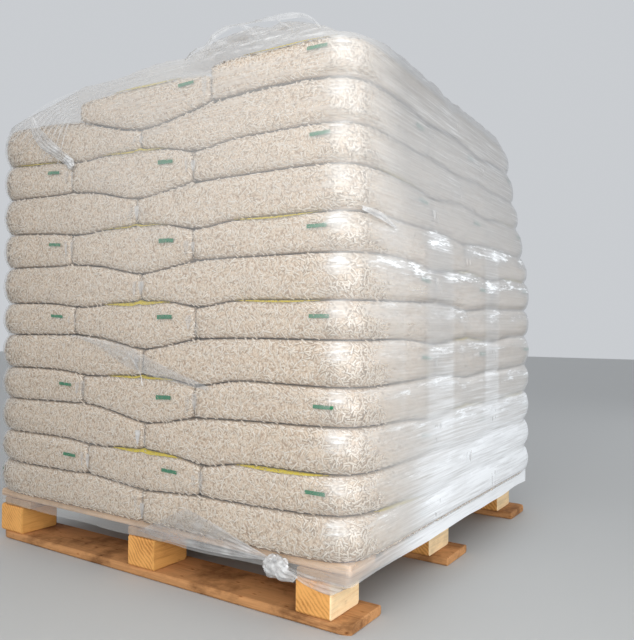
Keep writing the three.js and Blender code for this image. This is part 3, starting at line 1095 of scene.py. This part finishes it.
def ribbon(places, widths, out, folds, depth, seed, count=70, across=17):
    """A bunched strip of film along places on a face, as a grid of points.

    out is the face's outward way. The strip has a number of folds along it, of the given depth.
    """
    path = smooth_path(places, count)
    wide = smooth_path(np.asarray(widths, float)[:, None] * np.ones((1, 3)), count)[:, 0]
    along = np.gradient(path, axis=0)
    along /= np.linalg.norm(along, axis=1, keepdims=True)
    out = np.asarray(out, float)
    sideways = np.cross(along, out)
    sideways /= np.linalg.norm(sideways, axis=1, keepdims=True)
    u = np.linspace(-0.5, 0.5, across)[None, :, None]
    points = path[:, None] + sideways[:, None] * wide[:, None, None] * u
    drift = wobble_at(np.linspace(0, 3, count), 0, 0, seed)[:, None]
    wave = np.sin(2 * math.pi * folds * u[..., 0] + 3 * drift + seed)
    rough = wobble(points, 60, seed + 2)
    height = depth * (0.9 + 0.7 * wave + 0.8 * rough) * (1 - (2 * np.abs(u[..., 0])) ** 3 * 0.8)
    return points + out * height[..., None]


def sheet_between(first, second, out, folds, depth, seed, count, across):
    """A sheet of film between two edges that run the same way, with folds along it."""
    first, second = smooth_path(first, count), smooth_path(second, count)
    v = np.linspace(0, 1, across)[None, :, None]
    points = first[:, None] * (1 - v) + second[:, None] * v
    drift = wobble_at(np.linspace(0, 2, count), 0, 0, seed)[:, None]
    wave = np.sin(2 * math.pi * folds * v[..., 0] + 2 * drift + seed)
    height = depth * (1 + wave + 0.4 * wobble(points, 25, seed + 1))
    return points + np.asarray(out, float) * height[..., None]


def add_strips(name, grids, haze, material):
    """One piece from grids of points. haze has a value for each grid, or one for each of its rows."""
    values = []
    for grid, milky in zip(grids, haze):
        uneven = np.clip(0.95 + 0.6 * wobble(grid, 34, 2), 0.5, 1.4)
        values.append((np.reshape(milky, (-1, 1)) * uneven).ravel())
    points, faces = join_grids(grids)
    piece = add_mesh(name, points, faces, [material], attributes={"haze": np.concatenate(values)})


def add_film_strips(material):
    """Bands, ropes and tails of film that lie on the outside of the wrap."""
    face = -HALF - FILM_OUT - 0.001
    deck = -DECK_HALF - FILM_OUT - 0.003
    front, right = OUTWARD["front"], OUTWARD["right"]
    band = [(-0.25, 0.602), (-0.14, 0.584), (-0.03, 0.552), (0.08, 0.52), (0.24, 0.486)]
    tail = [(-0.03, 0.56), (0.0, 0.53), (0.016, 0.505), (0.022, 0.482)]
    rope = [(-0.435, 1.212), (-0.418, 1.175), (-0.377, 1.137), (-0.318, 1.1), (-0.262, 1.066)]
    tuft = [(-0.285, 1.082), (-0.264, 1.064), (-0.25, 1.052)]
    side = [(HALF - 0.005, -0.585, 0.874), (HALF + 0.005, -0.53, 0.866), (HALF + 0.004, -0.45, 0.85)]
    upper = [(0.172, face, 0.204), (0.25, face, 0.185), (0.33, face + 0.004, 0.158), (0.405, deck, 0.128)]
    lower = in_plane(deck, [(-0.01, 0.118), (0.12, 0.11), (0.28, 0.112), (0.405, 0.121)])
    grids = [
        ribbon(in_plane(face, band), [0.006, 0.018, 0.05, 0.034, 0.008], front, 3, 0.0012, 4),
        ribbon(in_plane(face, tail), [0.003, 0.004, 0.0035, 0.002], front, 1, 0.0012, 6, 30, 5),
        ribbon(in_plane(face, rope), [0.02, 0.036, 0.04, 0.03, 0.024], front, 4, 0.004, 8),
        ribbon(in_plane(face, tuft), [0.018, 0.03, 0.012], front, 3, 0.006, 9, 30, 11),
        ribbon(side, [0.008, 0.016, 0.006], right, 2, 0.002, 19, 40, 9),
        sheet_between(upper, lower, front, 5, 0.0016, 12, 80, 21),
    ]
    haze = [0.22, 0.45, 0.4, 0.5, 0.5, np.linspace(0.16, 0.5, 80)]
    add_strips("film_bands", grids, haze, material)


def add_film_fan(material):
    """Wrinkles in the film, from the top layer's left end over the place of the missing sacks."""
    grids = []
    face = -HALF - FILM_OUT - 0.0012
    start_x = -0.235
    for seed, low in enumerate(np.linspace(1.235, 1.13, 9)):
        start_z = 1.258 - 0.02 * seed / 8
        end_x = -0.56 + 0.03 * seed
        middle = ((start_x + end_x) / 2, (start_z + low) / 2 - 0.012)
        path = in_plane(face, [(start_x, start_z - 0.006 * seed), middle, (end_x, low - 0.06)])
        grids.append(ribbon(path, [0.003, 0.008, 0.002], OUTWARD["front"], 1, 0.001, seed, 40, 5))
    add_strips("film_fan", grids, [0.3] * len(grids), material)


def add_hump_folds(material):
    """Crumpled folds of the loose film that stands over the top edge of the front."""
    y = -HALF + 0.02
    crest = [(0.134, 1.268), (0.166, 1.284), (0.2, 1.286), (0.226, 1.308), (0.262, 1.317), (0.3, 1.316)]
    folds = [
        [*crest, (0.365, 1.309)],
        [(0.35, 1.311), (0.428, 1.303), (0.475, 1.294), (0.506, 1.276), (0.524, 1.255)],
        [(0.195, 1.272), (0.248, 1.27), (0.302, 1.27), (0.365, 1.262), (0.428, 1.256), (0.468, 1.26)],
        [(0.215, 1.302), (0.25, 1.284), (0.292, 1.266)],
        [(0.3, 1.314), (0.34, 1.292), (0.362, 1.266)],
        [(0.41, 1.302), (0.435, 1.28), (0.475, 1.264)],
        [(0.15, 1.282), (0.175, 1.27), (0.212, 1.266)],
    ]
    grids = []
    for seed, fold in enumerate(folds):
        path = in_plane(y - 0.004 * (seed % 3), fold)
        widths = [0.004, *(0.011 + 0.006 * math.sin(2.3 * seed + k) for k in range(len(path) - 2)), 0.004]
        grids.append(ribbon(path, widths, (0, -1, 0.2), 2, 0.004, seed + 50, 44, 7))
    add_strips("film_hump_folds", grids, [0.28, 0.3, 0.2, 0.22, 0.3, 0.25, 0.3], material)


def add_knot(material):
    """The film's end, bunched and tied at the foot of the front, with a strip round the near block."""
    low, high = (np.array(end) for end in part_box("film_knot"))
    centre, half = (low + high) / 2, (high - low) / 2
    round_way = np.linspace(0, 2 * math.pi, KNOT_ROUND, endpoint=False)
    u, v = np.meshgrid(round_way, np.linspace(-1.45, 1.45, KNOT_ROWS))
    ball = np.stack([np.cos(v) * np.cos(u), np.cos(v) * np.sin(u), np.sin(v)], -1)
    swell = 0.76 + 0.34 * creases(ball, 1.25, 41) + 0.08 * creases(ball, 3.6, 42)
    points = centre + ball * half * swell[..., None]
    faces = grid_faces(KNOT_ROWS, KNOT_ROUND, closed=True)
    values = np.clip(0.42 + 0.5 * wobble(ball, 2.6, 43), 0.1, 0.9)
    lump = add_mesh("film_knot_lump", points.reshape(-1, 3), faces, [material], attributes={"haze": values})
    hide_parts("film_knot")
    x, y, z = centre
    out = OUTWARD["front"]
    front = -DECK_HALF - 0.006
    tail_end = (x + 0.042, front, z - 0.026)
    tail_path = [(x + 0.004, y - 0.006, z + 0.002), (x + 0.026, y - 0.008, z - 0.012), tail_end]
    tail = ribbon(tail_path, [0.02, 0.034, 0.018], out, 3, 0.006, 14, 30, 13)
    under_path = [(x - 0.012, y, z), (x - 0.008, y - 0.004, z - 0.02), (x - 0.004, front, z - 0.03)]
    under = ribbon(under_path, [0.022, 0.026, 0.014], out, 2, 0.005, 15, 26, 11)
    block_low, block_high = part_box("block_front_right")
    block_front = block_low.y - 0.002
    side = block_high.x + 0.002
    edge = DECK_HALF + 0.005
    upper = in_plane(front, [(x + 0.02, z - 0.002), (0.5, 0.112), (0.57, 0.108), (edge, 0.107)])
    on_block = in_plane(block_front, [(0.49, 0.088), (0.53, 0.08), (side, 0.078)])
    strip = sheet_between(upper, [(x + 0.03, front, z - 0.018), *on_block], out, 3, 0.0014, 16, 50, 13)
    upper = [(edge, front, 0.107), (edge, -0.57, 0.108), (edge, -0.53, 0.11), (edge, -0.475, 0.114)]
    lower = [(side, block_front, 0.078), (side, -0.57, 0.078), (side, -0.53, 0.08), (side, -0.482, 0.084)]
    turned = sheet_between(upper, lower, OUTWARD["right"], 3, 0.0008, 17, 40, 13)
    add_strips("film_knot_tails", [tail, under, strip, turned], [0.45, 0.4, 0.36, 0.3], material)


# Pallet
def board_section(half, counts):
    """Points round a board's cross section, with worn corners."""
    edge_a, edge_b = (np.linspace(-1, 1, count + 1) for count in counts)
    ring = [(s, -1) for s in edge_a[:-1]] + [(1, s) for s in edge_b[:-1]]
    ring += [(s, 1) for s in edge_a[::-1][:-1]] + [(-1, s) for s in edge_b[::-1][:-1]]
    section = []
    for i, point in enumerate(ring):
        flat = np.array(point) * half
        if min(np.abs(point)) < 0.999:
            section.append(flat)
            continue
        sign = np.sign(point)
        first = flat - sign * np.array([2.6 * BOARD_WORN, 0])
        second = flat - sign * np.array([0, 2.6 * BOARD_WORN])
        worn = flat - sign * BOARD_WORN
        comes_along_a = abs(ring[i - 1][1] - point[1]) < 1e-9
        section += [first, worn, second] if comes_along_a else [second, worn, first]
    return np.array(section)


def board_points(low, high, along, cells, seed):
    """A sawn board's points and faces: a fine box with worn edges and uneven faces."""
    low, high = np.array(low), np.array(high)
    size = high - low
    long_axis = "xyz".index(along)
    a, b = (i for i in range(3) if i != long_axis)
    section = board_section(size[[a, b]] / 2, (6, 4) if size[a] > size[b] else (4, 6))
    inner = np.linspace(BOTTOM_CORNER_X, size[long_axis] - BOTTOM_CORNER_X, cells)
    ends = np.array(BOARD_ENDS)
    stations = np.concatenate([ends, inner, size[long_axis] - ends[::-1]])
    shrink = np.ones(len(stations))
    shrink[[0, -1]] = 1 - BOARD_WORN / (size[[a, b]].min() / 2)
    points = np.zeros((len(stations), len(section), 3))
    middle = (low + high) / 2
    points[..., a] = middle[a] + section[:, 0] * shrink[:, None]
    points[..., b] = middle[b] + section[:, 1] * shrink[:, None]
    points[..., long_axis] = low[long_axis] + stations[:, None]
    inward = points - middle
    inward[..., long_axis] = 0
    inward /= np.linalg.norm(inward, axis=-1, keepdims=True)
    points -= inward * BOARD_ROUGH * np.abs(wobble(points, 22, seed))[..., None]
    faces = closed_rings(points, 0)
    if along == "x":
        faces = [tuple(reversed(face)) for face in faces]
    return points.reshape(-1, 3), faces


def clip_outer_corners(points, low, high):
    """Cuts an outer bottom board's two corners that are on the pallet's own corners."""
    outer = -1 if low.y < -0.4 else 1
    edge = low.y if outer < 0 else high.y
    past = np.clip(np.abs(points[:, 0]) - (DECK_HALF - BOTTOM_CORNER_X), 0, None)
    limit = outer * edge - past * BOTTOM_CORNER_Y / BOTTOM_CORNER_X
    points[:, 1] = outer * np.minimum(outer * points[:, 1], limit)
    return points


def add_timber(name, along, materials, cells, seed):
    """A board or block. Its second material is for the sawn faces at its right and left."""
    low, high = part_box(name)
    points, faces = board_points(low, high, along, cells, seed)
    if name in ("bottom_board_front", "bottom_board_rear"):
        points = clip_outer_corners(points, low, high)
    ends = [int(np.ptp(points[list(face), 0]) < 0.004) for face in faces]
    piece = add_mesh(f"{name}_sawn", points, faces, materials, smooth=False, face_material=ends)
    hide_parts(name)


def add_pallet():
    """Every board and block of the frame, each over its own node."""
    blocks = end_grain_material("block_wood", *END_GRAIN)
    woods = {name: wood_material(name, *look) for name, look in WOODS.items()}
    for seed, name in enumerate(sorted(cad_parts)):
        if name.startswith("bottom_board"):
            add_timber(name, "x", [woods["bottom_board_wood"]] * 2, 60, seed)
        elif name.startswith("deck_board"):
            add_timber(name, "x", [woods["deck_board_wood"]] * 2, 50, seed)
        elif name.startswith("stringer"):
            add_timber(name, "y", [woods["stringer_wood"]] * 2, 50, seed)
        elif name.startswith("block"):
            # The right column's blocks get the paler copy on their sides: painted light from the right.
            sides = "lit_side_wood" if name.endswith("right") else "block_side_wood"
            add_timber(name, "x", [blocks, woods[sides]], 8, seed)


def add_nails(material):
    """Nail heads under the bottom boards and over the deck boards, where they cross the blocks."""
    points, faces = [], []
    turns = np.linspace(0, 2 * math.pi, NAIL_SIDES + 1)[:-1]
    round_way = np.stack([np.cos(turns), np.sin(turns), 0 * turns], -1)
    names = [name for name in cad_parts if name.startswith("block")]
    for name in sorted(names):
        low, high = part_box(name)
        for dx, dy in NAIL_SPOTS:
            x = low.x + (high.x - low.x) * dx + rng.normal(0, 0.003)
            y = low.y + (high.y - low.y) * dy + rng.normal(0, 0.003)
            for z, way in ((0.0, 1), (DECK_TOP, -1)):
                start = sum(map(len, points))
                inner = round_way * NAIL_INNER + (x, y, z + way * 0.0001)
                rim = round_way * NAIL_RIM + (x, y, z + way * 0.0004)
                points += [inner, rim]
                faces.append(tuple(range(start, start + NAIL_SIDES)))
                faces += map(tuple, grid_faces(2, NAIL_SIDES, closed=True, start=start).tolist())
    piece = add_mesh("nail_heads", np.concatenate(points), faces, [material])


# Studio
def add_camera():
    data = bpy.data.cameras.new("camera")
    data.lens = CAMERA_LENS
    data.sensor_width = 36.0
    camera = new_object("camera", data)
    turn = Matrix.Rotation(CAMERA_YAW, 4, "Z") @ Matrix.Rotation(CAMERA_PITCH, 4, "X")
    turn = turn @ Matrix.Rotation(CAMERA_ROLL, 4, "Z")
    camera.matrix_world = Matrix.Translation(CAMERA_PLACE) @ turn
    bpy.context.scene.camera = camera


def add_floor():
    material, tree = new_material("floor")
    finished(material, principled(tree, {"Base Color": FLOOR_COLOUR, "Roughness": 0.7}))
    mesh = bpy.data.meshes.new("floor")
    corners = [(x * FLOOR_SIDE, y * FLOOR_SIDE, 0) for x, y in ((-1, -1), (1, -1), (1, 1), (-1, 1))]
    mesh.from_pydata(corners, [], [(0, 1, 2, 3)])
    mesh.materials.append(material)
    floor = new_object("floor", mesh)


def add_light(name, place, aim, size, power, colour):
    data = bpy.data.lights.new(name, "AREA")
    data.shape = "RECTANGLE"
    data.size, data.size_y = size
    data.energy = power
    data.color = colour
    light = new_object(name, data)
    light.location = place
    light.rotation_euler = (Vector(aim) - Vector(place)).to_track_quat("-Z", "Y").to_euler()


def add_studio():
    world = bpy.data.worlds.new("studio")
    world.use_nodes = True
    background = world.node_tree.nodes["Background"]
    background.inputs["Color"].default_value = SKY_COLOUR
    background.inputs["Strength"].default_value = SKY_STRENGTH
    bpy.context.scene.world = world
    for name, settings in LIGHTS.items():
        add_light(name, *settings)
    bpy.context.scene.view_settings.view_transform = "Standard"


add_camera()
add_floor()
add_studio()
add_pallet()
add_nails(nail_material())
add_fills(fill_material())
add_pellets(pellet_material())
add_skins(sack_skin_material())
add_prints(
    print_material("green_print", (0.006, 0.165, 0.072), 0.57),
    print_material("yellow_print", (0.55, 0.43, 0.01), 0.52),
)
add_film(film_material())
bunched = bunched_film_material()
add_joint_folds(bunched)
add_film_strips(bunched)
add_film_fan(bunched)
add_hump_folds(bunched)
add_knot(bunched)
